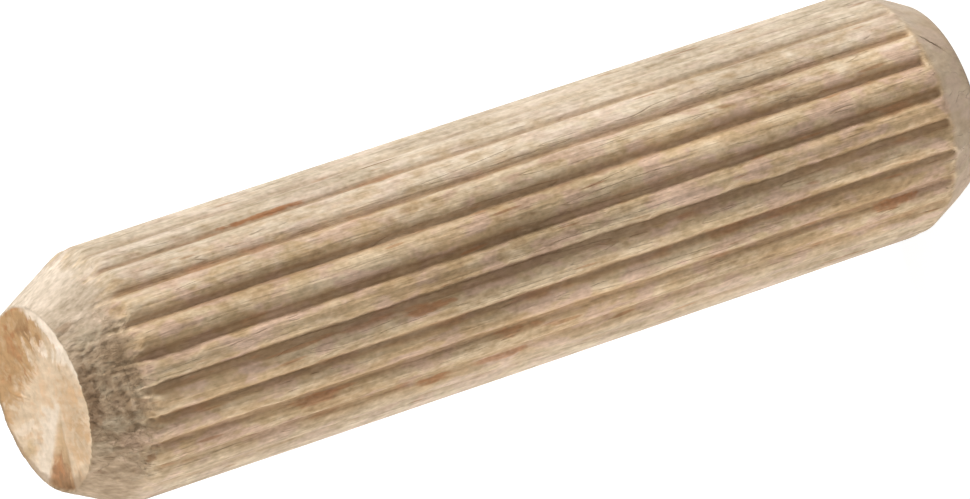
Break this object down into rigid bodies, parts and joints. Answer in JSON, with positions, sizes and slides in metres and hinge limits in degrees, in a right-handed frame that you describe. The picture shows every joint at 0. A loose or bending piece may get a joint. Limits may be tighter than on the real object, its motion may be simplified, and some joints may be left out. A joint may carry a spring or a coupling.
{
  "type": "dowel pin",
  "caption": "Straight round wooden pin with fine glue flutes pressed along its side and a chamfer on each end, for joining two drilled pieces of wood.",
  "frame": {"origin": "centre of the lower end face, the one with the shorter chamfer", "axes": "+Z along the pin's axis towards the longer chamfer, +X through the middle of a flute"},
  "size_m": [0.0098, 0.0098, 0.04],
  "materials": {
    "beech": "bare straight-grained beech, pressed flutes, crushed fibres on the longer chamfer and torn end grain"
  },
  "bodies": {
    "root": {"dowel_pin": "beech"}
  },
  "joints": []
}
